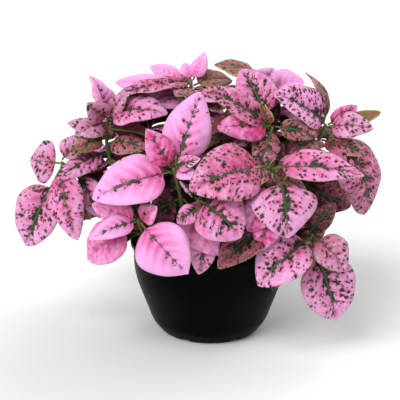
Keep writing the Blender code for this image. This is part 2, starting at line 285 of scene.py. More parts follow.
# Young leaves that the CAD leaves out, by shoot, each with a sprout's values.
YOUNG = {
    "front_left": (
        (1.0, (-8, -58, 139), 10, (0, -1, 0.6), "veined"),
        (0.97, (-10, -60, 127), 10, (0, -1, 0.8), "plain"),
        (0.6, (-38, -28, 92), 24, (0, -1, 0.5), "dark"),
        (0.5, (-12, -26, 99), 24, (0, -1, 0.5), "dark"),
        (0.55, (4, -58, 74), 27, (-0.3, -1, 0.4), "mauve", 0.1, 0.1, 0.8),
        (0.7, (-27, -8, 105), 26, (0, -1, 0.4), "dark"),
    ),
    "low_left": (
        (0.98, (-76, -76, 91), 15, (-0.3, -1, 0.8), "bare", 0.1, 0.06, 0.85),
        (1.0, (-36, -66, 109), 14, (0.2, -1, 0.6), "mauve", 0.1, 0.06, 0.85),
        (1.0, (-75, -60, 109), 16, (-0.2, -1, 0.3), "mauve", 0.1, 0.06),
    ),
    "low_centre": (
        (0.85, (-20, -60, 97), 12, (0, -1, 0.5), "veined"),
        (0.45, (-7, -54, 60), 16, (0, -1, 0.3), "freckled", 0.1, 0.2),
    ),
    "front_right": (
        (0.99, (23, -66, 122), 14, (0, -1, 0.8), "mottled", 0.1, 0.06),
        (0.9, (66, -34, 104), 22, (0.4, -0.8, 0.8), "mottled"),
    ),
    "lower_right": (
        (0.85, (33, -64, 79), 22, (-0.3, -1, 0.4), "rosy"),
    ),
    "low_right": (
        (0.8, (84, -24, 98), 14, (0, -1, 0.5), "dark"),
    ),
    "far_left": (
        (1.0, (-86, 2, 138), 17, (-0.3, -1, 0.6), "dusty", 0.05, 0.1),
        (0.85, (-82, -4, 82), 12, (0, -1, 0.3), "mottled", 0.1, 0.2),
        (0.8, (-73, -16, 87), 18, (0.2, -1, 0.4), "veined"),
    ),
    "upper_left": (
        (0.78, (-44, -12, 133), 18, (0, -0.8, 1), "mottled", 0.12, 0.1),
        (0.9, (-34, -14, 140), 18, (0, 0.8, 0.4), "mottled", 0.05, 0.1),
        (1.0, (-57, 0, 169), 13, (-0.6, -1, 0.4), "russet"),
        (0.97, (-64, 10, 140), 14, (0, -1, 0.6), "mottled"),
        (0.99, (-82, -4, 163), 17, (-0.4, -1, 0.5), "russet"),
        (0.95, (-90, -6, 141), 19, (-0.3, -1, 0.7), "russet"),
        (0.88, (-96, 6, 147), 11, (-0.3, -1, 0.7), "dusty"),
        (0.82, (-94, -14, 132), 12, (-0.3, -1, 0.3), "brown"),
    ),
    "top_left": (
        (0.97, (-40, 34, 181), 12, (0, -1, 0.6), "plain", 0.1, 0.2),
        (0.88, (-64, 28, 171), 17, (0, -1, 0.6), "plain"),
        (0.98, (-17, 36, 183), 10, (0.3, -1, 0.6), "plain", 0.1, 0.2),
        (0.9, (4, 2, 163), 14, (0, -0.7, 1), "veined"),
        (0.94, (-22, -4, 168), 14, (0, -0.6, 1), "mottled"),
        (0.92, (2, 26, 168), 14, (0, 0.3, 1), "mottled"),
        (0.86, (-36, 6, 160), 16, (0, -0.7, 1), "veined"),
        (0.88, (-60, 32, 154), 28, (0, 0.6, 0.8), "mottled"),
        (0.8, (-50, 24, 142), 28, (0, 0.8, 0.6), "mottled"),
    ),
    "upper_right": (
        (0.95, (-2, -24, 177), 20, (0, -0.8, 1), "spotted"),
        (0.98, (32, -34, 124), 18, (0, -1, 0.3), "mottled"),
        (1.0, (70, -14, 143), 14, (0, -1, 0.7), "mottled"),
        (1.0, (36, -20, 168), 10, (-0.6, -1, 0.2), "brown"),
    ),
    "top_right": (
        (0.94, (58, 4, 160), 16, (0.2, -0.8, 1), "spotted"),
        (0.86, (14, 0, 160), 18, (0, -0.8, 1), "freckled"),
        (0.7, (46, 14, 162), 20, (0, -1, 0.5), "dark"),
    ),
    "far_right": (
        (1.0, (68, 22, 178), 15, (1, -0.6, 0.5), "mottled", 0.22, 0.1),
        (0.9, (66, -2, 148), 12, (0, -1, 0.8), "brown"),
        (1.0, (100, 14, 158), 12, (0.4, -1, 0.4), "rosy"),
        (0.97, (117, 16, 153), 9, (0, -1, 0.8), "withered", 0.05, 0.4, 0.5),
        (0.86, (104, -6, 128), 16, (0.3, -1, 0.6), "mottled"),
    ),
}

# Pairs of leaves that grow down every shoot if they find room, from its crown: the node's share of the stem,
# the leaf's length and how far its reach rises, in degrees. Each pair stands across the one above it.
PAIRS = (
    (1.0, 8, 70),
    (0.99, 15, 50),
    (0.96, 26, 30),
    (0.91, 38, 14),
    (0.84, 46, -4),
    (0.75, 48, -20),
    (0.64, 42, -28),
    (0.52, 34, -20),
)
PAIR_TRIES = 8
PAIR_TURN = 0.5  # in radians
PAIR_TILT = 14  # in degrees
PAIR_SIZES = (0.85, 1.1)

# What every grown leaf draws from, and which looks it takes near the crown and lower down.
YOUNG_SEED = 7
FACE_TILTS = (0.2, 0.6)
WIDTHS = (0.52, 0.66)  # as shares of the length
BOWS = (0.06, 0.16)
STALKS = (0.08, 0.18)
TAPERS = (0.62, 0.85)
LEAF_SEEDS = 1000
YOUNG_LOOKS = ("clean", "veined", "freckled", "blotched", "spotted")
# Lower leaves mostly take the dark look: the darker green of older leaves, and painted shade for the clump's
# inside.
OLD_AND_SHADED_LOOKS = ("spotted", "mottled", "dark", "dark", "dark", "brown")
OLD_AND_SHADED_BELOW = 0.86
BUD_LENGTH = 12  # leaves up to this long may stand in front of others

# More leaves, at random places on the stems.
FILL_TRIES = 1500
FILL_NODES = (0.35, 0.98)
FILL_CLIMBS = (-40, 35)
FILL_LENGTHS = (16, 42)

# Then leaves across the holes between the stems, which a grid of sight lines looks for from each side.
HOLE_AZIMUTHS = (0, 45, 135, 180, 225, 315)
HOLE_STEP = 5
HOLE_HEIGHTS = range(70, 176, HOLE_STEP)
HOLE_OFFSETS = range(-100, 101, HOLE_STEP)
HOLE_SIGHT = 300
HOLE_TRIES = 12
HOLE_DEPTH = 30
HOLE_NODES = [step / 20 for step in range(6, 20)]
HOLE_REACHES = (8, 28)
HOLE_OVERSHOOTS = (1.3, 1.7)

# Room for a grown leaf: inside the CAD's box, off the pot and above LOWEST_LEAF.
BOX_MARGIN = 1
POT_HALF = 55
POT_CLEARANCE = 2
LOWEST_LEAF = 40
FRONT_DEPTH = 35  # leaves placed in front of this make the outline that the viewer sees
OUTLINE_RINGS = (7, 14, 22, 32)
OUTLINE_SPOKES = 8
SIGHT_LENGTH = 400
SIGHT_OFFSET = 0.5
SIGHT_STEP = 3  # tests every third point of a leaf


# ---- shader nodes

class Shader:
    """One material's nodes, added by short calls that each return an output socket."""

    def __init__(self, name, **constants):
        self.material = bpy.data.materials.new(name)
        self.material.use_nodes = True
        self.tree = self.material.node_tree
        self.principled = self.tree.nodes["Principled BSDF"]
        self.set(self.principled, constants)

    def set(self, node, inputs):
        for key, value in inputs.items():
            socket = node.inputs[key.replace("_", " ") if isinstance(key, str) else key]
            if isinstance(value, bpy.types.NodeSocket):
                self.tree.links.new(value, socket)
            else:
                socket.default_value = value

    def add(self, kind, inputs, output=0, **settings):
        node = self.tree.nodes.new("ShaderNode" + kind)
        for key, value in settings.items():
            setattr(node, key, value)
        self.set(node, inputs)
        return node.outputs[output]

    def math(self, operation, *values):
        return self.add("Math", dict(enumerate(values)), operation=operation)

    def linear(self, value, slope, shift):
        return self.math("MULTIPLY_ADD", value, slope, shift)

    def both(self, first, second):
        """The product of two shares."""
        return self.math("MULTIPLY", first, second)

    def smooth(self, value, start, end):
        """Goes from 0 where value is start to 1 where it is end, whichever is larger."""
        return self.add("MapRange", {0: value, 1: start, 2: end}, interpolation_type="SMOOTHSTEP")

    def mix(self, share, first, second):
        return self.add("Mix", {0: share, 6: first, 7: second}, 2, data_type="RGBA")

    def noise(self, place, scale, detail=2):
        return self.add("TexNoise", {"Vector": place, "Scale": scale, "Detail": detail})

    def split(self, vector):
        return self.add("SeparateXYZ", {0: vector}, slice(None))

    def attribute(self, name, output="Vector"):
        return self.add("Attribute", {}, output, attribute_name=name)

    def bump(self, height, strength, distance):
        normal = self.add("Bump", {"Height": height, "Strength": strength, "Distance": distance * MM})
        self.set(self.principled, {"Normal": normal})


def colour(red, green, blue):
    return (red, green, blue, 1)


# Pale pink with a lilac tint: the pale pink is the leaf's own, the bluish lilac tint is a painted reflection
# of the bright surroundings on its soft gloss.
PALE_PINK_AND_SHEEN = colour(0.92, 0.42, 0.80)
MID_PINK = colour(0.76, 0.10, 0.35)
ROSE = colour(0.46, 0.018, 0.085)
BROWN = colour(0.24, 0.14, 0.06)
MARGIN = colour(0.46, 0.35, 0.15)
DARK_GREEN = colour(0.008, 0.014, 0.008)
LEAF_GREEN = colour(0.019, 0.048, 0.021)
RIB_GREEN = colour(0.055, 0.095, 0.030)
# Deep maroon of the lower face, kept darker than a real underside: its hue is the leaf's own, its darkness
# painted shade for undersides and the crevices between leaves.
SHADED_MAROON = colour(0.10, 0.006, 0.016)
DUSKY_PINK = colour(0.30, 0.055, 0.095)
STALK_GREEN = colour(0.12, 0.15, 0.035)
STEM_GREENS = (colour(0.05, 0.08, 0.02), colour(0.17, 0.21, 0.055))
STEM_RED = colour(0.22, 0.045, 0.05)
POT_BLACK = colour(0.0004, 0.0004, 0.0005)
POT_WORN = colour(0.004, 0.0038, 0.0036)
SOIL_BROWNS = (colour(0.006, 0.004, 0.002), colour(0.045, 0.026, 0.014))
BARK_BROWNS = (colour(0.03, 0.014, 0.007), colour(0.13, 0.07, 0.035))
PERLITE_WHITES = (colour(0.55, 0.53, 0.49), colour(0.8, 0.79, 0.76))
FLOOR_WHITE = colour(0.92, 0.92, 0.92)


class LeafShader(Shader):
    """The coordinates and looks that both faces of a leaf read."""

    def __init__(self, name, **constants):
        super().__init__(name, **constants)
        across, self.along, self.edge = self.split(self.attribute("blade"))
        self.flow = self.attribute("flow")
        self.x, self.y, self.seed = self.split(self.flow)
        self.aside = self.math("ABSOLUTE", across)
        self.spots, self.veins, self.pale = self.split(self.attribute("look"))
        self.olive = self.attribute("look", "Alpha")
        self.coarse = self.linear(self.noise(self.flow, 0.35), 3, -1.5)  # from about -1 to 1
        self.fine = self.linear(self.noise(self.flow, 1.3), 3, -1.5)
        slant = self.both(self.math("POWER", self.aside, VEIN_CURVE), VEIN_SLANT)
        straight = self.math("SUBTRACT", self.along, slant)
        phase = self.both(self.linear(self.coarse, 0.012, straight), VEIN_COUNT)
        self.near_vein = self.fold(phase)
        self.between_vein = self.fold(self.linear(phase, 2, 0.5))
        self.from_rib = self.math("ABSOLUTE", self.x)

    def fold(self, phase):
        """1 where the phase is a whole number, 0 halfway between."""
        away = self.math("SUBTRACT", self.math("FRACT", phase), 0.5)
        return self.both(self.math("ABSOLUTE", away), 2)

    def most(self, *shares):
        result = shares[0]
        for share in shares[1:]:
            result = self.math("MAXIMUM", result, share)
        return result

    def paint(self, face):
        """Colours the blade, and the stalk green."""
        stalk = self.smooth(self.along, 0.01, -0.03)
        self.set(self.principled, {"Base_Color": self.mix(stalk, face, STALK_GREEN)})


def vein_green(s):
    """Share of green on the midrib and on the spurs that run out along the lateral veins."""
    patch = s.noise(s.flow, 0.17)
    thin = s.linear(s.along, -0.6, 1)
    thick = s.both(s.both(thin, s.veins), s.most(s.linear(patch, 10, -4.1), 0.45))
    rib = s.smooth(s.linear(s.fine, 0.9, s.from_rib),
                   s.math("ADD", thick, 0.4), s.math("SUBTRACT", thick, 0.4))
    reach = s.both(s.both(thin, s.veins), s.linear(patch, 24, -8.5))
    out = s.linear(s.coarse, 1.5, s.from_rib)
    twig = s.linear(s.fine, 0.3, s.most(s.near_vein, s.both(s.between_vein, 0.78)))
    twig = s.linear(s.noise(s.flow, 0.5), 1.2, s.math("SUBTRACT", twig, 0.6))
    spur = s.both(s.smooth(twig, 0.66, 0.82),
                  s.smooth(out, s.math("ADD", reach, 1), s.math("SUBTRACT", reach, 1)))
    short = s.smooth(s.linear(s.coarse, 0.15, s.along), 0.95, 0.7)
    return s.both(s.both(s.most(rib, spur), short), s.smooth(s.veins, 0, 0.5))


def spots_of(s, spacing, low, high, share):
    """Shares of green and of the dark halo in one size of spots, a little longer along the lateral veins."""
    outward = s.linear(s.math("ADD", s.from_rib, s.y), 0.5, s.seed)
    outward = s.linear(s.math("GREATER_THAN", s.x, 0), HALF_OFFSET, outward)
    upward = s.both(s.math("SUBTRACT", s.y, s.from_rib), 0.72)
    place = s.add("CombineXYZ", {0: s.linear(s.fine, 0.35, outward), 1: s.linear(s.coarse, 0.35, upward)})
    lookup = {"Vector": place, "Scale": 1 / spacing}
    cell = s.add("TexVoronoi", lookup, "Color", voronoi_dimensions="2D")
    away = s.add("TexVoronoi", lookup, "Distance", voronoi_dimensions="2D")
    pick, size, _ = s.split(cell)
    away = s.linear(s.fine, 0.07, away)
    radius = s.linear(size, high - low, low)
    crowd = s.both(s.both(s.spots, share), s.linear(s.noise(s.flow, 0.15), 4, -1.25))
    here = s.math("LESS_THAN", pick, crowd)
    return (s.both(here, s.smooth(away, radius, s.both(radius, 0.6))),
            s.both(here, s.smooth(away, s.both(radius, 2.2), s.both(radius, 0.8))))


def pink_of(s):
    """The upper face without markings: paler outwards, with a painted reflection in the pale colour's lilac
    tint, rosier in grooves and clouds, and green in the dark look, partly older leaves' own green and partly
    painted shade.
    """
    veil = s.noise(s.flow, 0.2, 3)
    cloud = s.both(s.math("SUBTRACT", veil, 0.5), s.linear(s.pale, -1.7, 2.6))
    outer = s.linear(s.along, 0.4, s.both(s.aside, 0.3))
    light = s.math("ADD", s.linear(s.pale, 0.75, -0.15), s.math("ADD", cloud, outer))
    # The pale colour mixed in here carries a painted reflection in its lilac tint.
    ground = s.mix(light, MID_PINK, PALE_PINK_AND_SHEEN)
    inward = s.both(s.smooth(s.aside, 0.9, 0), s.smooth(s.along, 1, 0.2))
    groove = s.both(s.smooth(s.near_vein, 0, 1), inward)
    near_stalk = s.both(s.smooth(s.along, 0.35, 0), 0.5)
    low = s.math("ADD", s.both(groove, 0.8), near_stalk)
    ground = s.mix(low, ground, s.mix(s.pale, ROSE, MID_PINK))
    blush = s.smooth(s.noise(s.flow, 0.32, 3), 0.45, 0.68)
    ground = s.mix(s.both(blush, s.linear(s.pale, -0.75, 0.75)), ground, ROSE)
    # Green patches for the dark look: partly older leaves' own green, partly painted shade inside the clump.
    murk_and_shade = s.both(s.smooth(s.pale, 0, -1), s.smooth(s.noise(s.flow, 0.4, 4), 0.3, 0.55))
    return s.mix(murk_and_shade, ground, LEAF_GREEN)


def browned(s, ground):
    """The ground with brown clouds and a brown edge, as far as the leaf's look asks for them."""
    ground = s.mix(s.both(s.olive, s.smooth(s.noise(s.flow, 0.5, 4), 0.25, 0.58)), ground, BROWN)
    rim = s.smooth(s.linear(s.fine, 0.3, s.edge), 1.1, 0.4)
    return s.mix(s.both(rim, s.linear(s.olive, 0.8, 0.2)), ground, MARGIN)


def leaf_upper():
    s = LeafShader("leaf_upper", Roughness=0.5, Specular_IOR_Level=0.25)
    ground = pink_of(s)
    large, large_halo = spots_of(s, *LARGE_SPOTS)
    small, small_halo = spots_of(s, *SMALL_SPOTS)
    ground = s.mix(s.both(s.most(large_halo, small_halo), 0.55), ground, ROSE)
    ground = browned(s, ground)
    rib = vein_green(s)
    freckle = s.both(s.both(s.olive, s.spots), s.smooth(s.noise(s.flow, 0.8, 3), 0.55, 0.65))
    green = s.most(rib, large, small, freckle)
    ink = s.mix(s.smooth(s.noise(s.flow, 0.3), 0.4, 0.65), DARK_GREEN, LEAF_GREEN)
    ink = s.mix(s.both(rib, s.smooth(s.from_rib, 1.2, 0.2)), ink, RIB_GREEN)
    s.paint(s.mix(green, ground, ink))
    net = s.add("TexVoronoi", {"Vector": s.flow, "Scale": 0.8}, "Distance", feature="DISTANCE_TO_EDGE")
    height = s.linear(s.smooth(s.near_vein, 0.97, 0.75), 0.5, s.both(net, 0.5))
    s.bump(height, 0.5, 0.35)
    return s.material


def leaf_under():
    s = LeafShader("leaf_under", Roughness=0.6, Specular_IOR_Level=0.2)
    cloud = s.linear(s.noise(s.flow, 0.25, 3), 0.7, -0.35)
    # The lower face is dark maroon, partly its own colour and partly painted shade.
    ground = s.mix(s.linear(s.pale, 0.5, cloud), SHADED_MAROON, DUSKY_PINK)
    ground = s.mix(s.both(s.smooth(s.near_vein, 0.75, 0.95), 0.5), ground, DUSKY_PINK)
    ground = s.mix(s.both(vein_green(s), 0.7), ground, LEAF_GREEN)
    s.paint(s.mix(s.smooth(s.from_rib, 1.1, 0.5), ground, STALK_GREEN))
    s.bump(s.linear(s.near_vein, 0.6, s.noise(s.flow, 1.5, 3)), 0.5, 0.3)
    return s.material


def stem_material():
    s = Shader("stem", Specular_IOR_Level=0.4)
    place = s.add("TexCoord", {}, "Object")
    stretched = s.add("Mapping", {"Vector": place, "Scale": (1, 1, 0.12)})
    streak = s.noise(stretched, 900, 3)
    flush = s.smooth(s.noise(place, 30, 2), 0.42, 0.62)
    s.set(s.principled, {
        "Base_Color": s.mix(s.both(flush, 0.6), s.mix(streak, *STEM_GREENS), STEM_RED),
        "Roughness": s.linear(streak, 0.25, 0.4),
    })
    s.bump(streak, 0.4, 0.15)
    return s.material


def pot_material():
    s = Shader("pot_plastic", Specular_IOR_Level=0.04)
    place = s.add("TexCoord", {}, "Object")
    turned = s.add("Mapping", {"Vector": place, "Scale": (0.05, 0.05, 1)})
    dust = s.smooth(s.noise(place, 45, 5), 0.5, 0.8)
    scuff = s.smooth(s.noise(turned, 1500, 4), 0.62, 0.75)
    worn = s.both(s.math("MAXIMUM", dust, scuff), 0.35)
    s.set(s.principled, {
        "Base_Color": s.mix(worn, POT_BLACK, POT_WORN),
        "Roughness": s.linear(s.noise(place, 160, 3), 0.2, 0.28),
    })
    s.bump(s.math("ADD", s.noise(place, 1400, 2), s.both(scuff, 0.3)), 0.2, 0.05)
    return s.material


def crumbly_material(name, colours, scale, roughness):
    """Soil, bark or perlite: two colours in clods, with a gritty surface."""
    s = Shader(name, Roughness=roughness, Specular_IOR_Level=0.2)
    place = s.add("TexCoord", {}, "Object")
    s.set(s.principled, {"Base_Color": s.mix(s.smooth(s.noise(place, scale, 5), 0.35, 0.65), *colours)})
    s.bump(s.noise(place, scale * 4, 4), 0.8, 0.4)
    return s.material


# ---- pieces

def smooth_mesh(name, points, faces):
    mesh = bpy.data.meshes.new(name)
    mesh.from_pydata(points, [], faces)
    mesh.shade_smooth()
    return mesh


def form_mesh(name, form):
    mesh = bpy.data.meshes.new(name)
    form.to_mesh(mesh)
    form.free()
    return mesh


def add_object(name, data):
    made = bpy.data.objects.new(name, data)
    bpy.context.scene.collection.objects.link(made)
    return made


def add_piece(name, mesh, materials, slot, *replaced):
    piece = add_object(name, mesh)
    for material in materials:
        mesh.materials.append(material)
    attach(piece, "root")
    if replaced:
        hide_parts(*replaced)


# ---- pot and soil

def rounded(profile):
    """A profile's points, with each corner replaced by a short curve."""
    points = []
    for i, (*corner, size) in enumerate(profile):
        corner = Vector(corner)
        if not size:
            points.append(corner)
            continue
        before, after = Vector(profile[i - 1][:2]), Vector(profile[i + 1][:2])
        start = corner.lerp(before, min(size / (before - corner).length, 0.5))
        end = corner.lerp(after, min(size / (after - corner).length, 0.5))
        for step in range(CORNER_STEPS):
            share = step / (CORNER_STEPS - 1)
            points.append(start.lerp(corner, share).lerp(corner.lerp(end, share), share))
    return points


def turned_mesh(name, profile, steps, raised=lambda x, y, height: 0):
    """A closed form turned about the Z axis; raised gives how far a point stands above its profile."""
    points, faces = [], []
    rings = profile[1:-1]
    for radius, height in rings:
        for j in range(steps):
            x, y = (radius * f(math.tau * j / steps) for f in (math.cos, math.sin))
            points.append(Vector((x, y, height + raised(x, y, height))) * MM)
    for i in range(len(rings) - 1):
        for j in range(steps):
            after = (j + 1) % steps
            faces.append((i * steps + j, (i + 1) * steps + j, (i + 1) * steps + after, i * steps + after))
    last = len(points) - steps
    for ring, (_, height), order in ((0, profile[0], 1), (last, profile[-1], -1)):
        points.append(Vector((0, 0, height + raised(0, 0, height))) * MM)
        for j in range(steps):
            faces.append((ring + j, ring + (j + 1) % steps, len(points) - 1)[::order])
    return smooth_mesh(name, points, faces)


def slot_bars():
    """Round bars along the pot's radius, which cut the arched drain slots through its foot."""
    form = bmesh.new()
    for i in range(SLOT_COUNT):
        turn = Matrix.Rotation(math.tau * (i + 0.5) / SLOT_COUNT - math.pi / 2, 4, "Z")
        lay = Matrix.Translation(Vector(((SLOT_START + SLOT_END) / 2, 0, SLOT_HEIGHT)) * MM)
        bmesh.ops.create_cone(form, cap_ends=True, segments=SLOT_SIDES, depth=(SLOT_END - SLOT_START) * MM,
                              radius1=SLOT_RADIUS * MM, radius2=SLOT_RADIUS * MM,
                              matrix=turn @ lay @ Matrix.Rotation(math.pi / 2, 4, "Y"))
    return form_mesh("slot_bars", form)


def make_pot():
    shell = add_object("shell", turned_mesh("shell", rounded(POT_PROFILE), POT_STEPS))
    bars = add_object("slot_bars", slot_bars())
    shell.modifiers.new("slots", "BOOLEAN").object = bars
    mesh = bpy.data.meshes.new_from_object(shell.evaluated_get(bpy.context.evaluated_depsgraph_get()))
    for part in (shell, bars):
        bpy.data.objects.remove(part)
    mesh.materials.clear()
    mesh.set_sharp_from_angle(angle=math.radians(SHARP_ANGLE))
    add_piece("pot_body", mesh, [pot_material()], "pot", "pot")


def soil_rise(x, y, height):
    """How far the soil's crumbled top stands above its level, which is less at the pot's wall."""
    if height < SOIL_TOP:
        return 0
    clods = noise.fractal(Vector((x, y, 0)) * CLOD_SCALE, 1.0, 2.0, 5)
    return SOIL_ROUGHNESS * (clods - 0.2) - (math.hypot(x, y) / SOIL_WALL[0][0]) ** 6


def grain_kind(draw):
    """One grain's material slot and its half sizes."""
    kind = draw.random()
    if kind < BARK_SHARE:
        return 0, tuple(draw.uniform(*span) for span in BARK_SIZES)
    if kind < 1 - PERLITE_SHARE:
        return 1, (draw.uniform(*CRUMB_SIZES),) * 3
    return 2, (draw.uniform(*PERLITE_SIZES),) * 3


def grain_mesh(draw):
    """Bark chips, crumbs and white perlite, lying loose on the soil."""
    form = bmesh.new()
    for _ in range(GRAIN_COUNT):
        radius = (SOIL_WALL[0][0] - GRAIN_MARGIN) * math.sqrt(draw.random())
        angle = draw.uniform(0, math.tau)
        x, y = radius * math.cos(angle), radius * math.sin(angle)
        slot, size = grain_kind(draw)
        lay = Matrix.Translation(Vector((x, y, SOIL_TOP + soil_rise(x, y, SOIL_TOP) + size[2] * 0.5)) * MM)
        turn = Matrix.Rotation(draw.uniform(0, math.tau), 4, "Z")
        tilt = Matrix.Rotation(draw.uniform(-GRAIN_TILT, GRAIN_TILT), 4, "Y")
        made = bmesh.ops.create_icosphere(form, subdivisions=2, radius=MM)["verts"]
        for vertex in made:
            vertex.co *= 1 + GRAIN_ROUGHNESS * noise.noise(vertex.co / MM * 1.5 + Vector((x, y, 0)))
        bmesh.ops.transform(form, matrix=lay @ (turn @ tilt) @ Matrix.Diagonal((*size, 1)), verts=made)
        for face in {face for vertex in made for face in vertex.link_faces}:
            face.material_index = slot
            face.smooth = slot != 0
    return form_mesh("grains", form)


def make_soil():
    crumbs = crumbly_material("soil", SOIL_BROWNS, 260, 0.95)
    bark = crumbly_material("bark", BARK_BROWNS, 400, 0.85)
    perlite = crumbly_material("perlite", PERLITE_WHITES, 900, 0.9)
    top = [(SOIL_WALL[0][0] * i / SOIL_RINGS, SOIL_TOP) for i in range(SOIL_RINGS)]
    mesh = turned_mesh("soil", (*top, *SOIL_WALL), SOIL_STEPS, soil_rise)
    mesh.flip_normals()
    add_piece("soil_bed", mesh, [crumbs], "soil", "soil")
    add_piece("soil_grains", grain_mesh(random.Random(GRAIN_SEED)), [bark, crumbs, perlite], "soil")


# ---- plant geometry

def stem_point(shoot, share):
    """A point on a stem's centre line, from the top of its foot (0) to the crown (1)."""
    root = Vector((*shoot.root, SOIL_TOP + GAP + STEM_FOOT))
    bend, crown = Vector(shoot.bend), Vector(shoot.crown)
    return root.lerp(bend, share).lerp(bend.lerp(crown, share), share)


def leaf_base(shoot, leaf):
    """Where a leaf stalk starts: beside its stem, on the side it grows towards."""
    node = stem_point(shoot, leaf.node)
    along = (node - stem_point(shoot, leaf.node - NODE_STEP)).normalized()
    reach = Vector(leaf.reach)
    outward = reach - along * reach.dot(along)
    return node + outward.normalized() * (STEM_RADIUS + GAP)


def unit(vectors):
    return vectors / np.linalg.norm(vectors, axis=-1, keepdims=True)


def blade_half(leaf, inside):
    """Half a leaf's width from stalk to tip, and how flat it is there: 0 on the stalk, 1 on the blade."""
    outline = np.sin(math.pi * inside**OUTLINE_SKEW).clip(0) ** leaf.taper
    end = STALK_HALF + (TIP_HALF - STALK_HALF) * inside
    return end + leaf.width / 2 * outline, np.minimum(1, outline * FLATTENING)


def blade_relief(inside, across, draw):
    """How far a blade rises, as a share of half its width: cupped, curled, quilted and waved at its edge."""
    aside = np.abs(across)
    phase = (inside - VEIN_SLANT * aside**VEIN_CURVE) * VEIN_COUNT
    bulge = np.sin(math.pi * phase) ** 2 * np.sin(math.pi * aside**0.8) ** 0.6
    starts = [draw.uniform(0, math.tau) for _ in range(2)]
    cup = CUP * draw.uniform(*CUP_RANGE)
    turn = math.tau * WAVE_COUNT * inside
    ripple = np.where(across < 0, np.sin(turn + starts[0]), np.sin(turn + starts[1])) * aside**3
    return cup * aside - CURL * aside**2 + QUILT * bulge + WAVE * ripple


def leaf_frame(base, leaf, blade):
    """A leaf's middle line, the ways across it and out of its upper face, and its length."""
    reach = np.array(leaf.reach, float)
    length = np.linalg.norm(reach)
    side = unit(np.cross(reach, leaf.face))
    upward = np.cross(side, reach / length)
    height = 4 * leaf.bow * length
    along = leaf.stalk + (1 - leaf.stalk) * blade
    middle = base + reach * along + upward * height * along * (1 - along)
    lift = unit(np.cross(side, reach + upward * height * (1 - 2 * along)))
    return middle[:, None, :], side[None, None, :], lift[:, None, :], length


def leaf_grid(base, leaf, rows, columns, seed):
    """A leaf's upper and lower face as two grids of points, and each point's place on the leaf.

    Rows run from the stem to the tip and columns from edge to edge. The first rows are the stalk, a round rod
    that flattens into the blade.
    """
    draw = random.Random(seed)
    stalk_rows = np.linspace(-leaf.stalk / (1 - leaf.stalk), 0, STALK_ROWS, endpoint=False)
    blade = np.concatenate((stalk_rows, np.linspace(0, 1, rows)))[:, None]
    inside = blade.clip(0, 1)
    across = np.linspace(-1, 1, columns)[None, :]
    across = np.sign(across) * np.abs(across) ** COLUMN_CROWDING
    aside = np.abs(across)
    half, flat = blade_half(leaf, inside)
    rise = half * blade_relief(inside, across, draw) * flat
    rod = np.sqrt((1 - across**2).clip(0)) * (1 - flat) * STALK_HALF
    ridge = RIDGE * (1 - inside) * np.exp(-((half * across / RIDGE_HALF) ** 2))
    deep = flat * (THICKNESS * (1 - EDGE_THINNING * aside) + ridge)
    middle, side, lift, length = leaf_frame(base, leaf, blade)
    twist = draw.uniform(-TWIST, TWIST) * inside

    def place(raised):
        level = side * (across * half)[..., None] * np.cos(twist)[..., None]
        turned = level + lift * (np.sin(twist) * across * half)[..., None]
        return middle + turned + lift * raised[..., None]

    shape = np.broadcast_to(blade, half.shape[:1] + across.shape[1:])
    spread = np.stack((np.broadcast_to(across, shape.shape), shape, (1 - aside) * half), -1)
    up_blade = shape * length * (1 - leaf.stalk)
    flow = np.stack((across * half, up_blade, np.full(shape.shape, seed * SEED_SPACING)), -1)
    return place(rise + rod), place(rise - rod - deep), spread, flow


def grid_faces(rows, columns, start, flip):
    """Quads of a grid of points numbered from start."""
    faces = []
    for i in range(rows - 1):
        for j in range(columns - 1):
            corner = start + i * columns + j
            quad = (corner, corner + 1, corner + columns + 1, corner + columns)
            faces.append(quad[::-1] if flip else quad)
    return faces


def rim_faces(rows, columns, start):
    """Quads that close a leaf's edge between its upper and lower grids."""
    count = rows * columns
    loop = [*range(columns), *(i * columns + columns - 1 for i in range(1, rows)),
            *range(count - 2, count - columns - 1, -1), *(i * columns for i in range(rows - 2, 0, -1))]
    pairs = zip(loop, loop[1:] + loop[:1])
    return [(start + b, start + a, start + count + a, start + count + b) for a, b in pairs]


def leaf_mesh(name, grown, rows, columns):
    """One mesh of one or more leaves; grown lists (base, leaf, seed)."""
    total = rows + STALK_ROWS
    count = total * columns
    grids, spreads, flows, looks, faces, slots = [], [], [], [], [], []
    for base, leaf, seed in grown:
        start = len(looks)
        upper, lower, spread, flow = leaf_grid(np.array(base), leaf, rows, columns, seed)
        grids += (upper, lower)
        spreads += (spread, spread)
        flows += (flow, flow)
        looks += [LOOKS[leaf.look]] * (2 * count)
        for quads, slot in ((grid_faces(total, columns, start, False), 0),
                            (grid_faces(total, columns, start + count, True), 1),
                            (rim_faces(total, columns, start), 0)):
            faces += quads
            slots += [slot] * len(quads)
    mesh = smooth_mesh(name, (np.reshape(grids, (-1, 3)) * MM).tolist(), faces)
    mesh.polygons.foreach_set("material_index", slots)
    for key, kind, field, values in (("blade", "FLOAT_VECTOR", "vector", spreads),
                                     ("flow", "FLOAT_VECTOR", "vector", flows),
                                     ("look", "FLOAT_COLOR", "color", looks)):
        mesh.attributes.new(key, kind, "POINT").data.foreach_set(field, np.ravel(values).astype(np.float32))
    return mesh


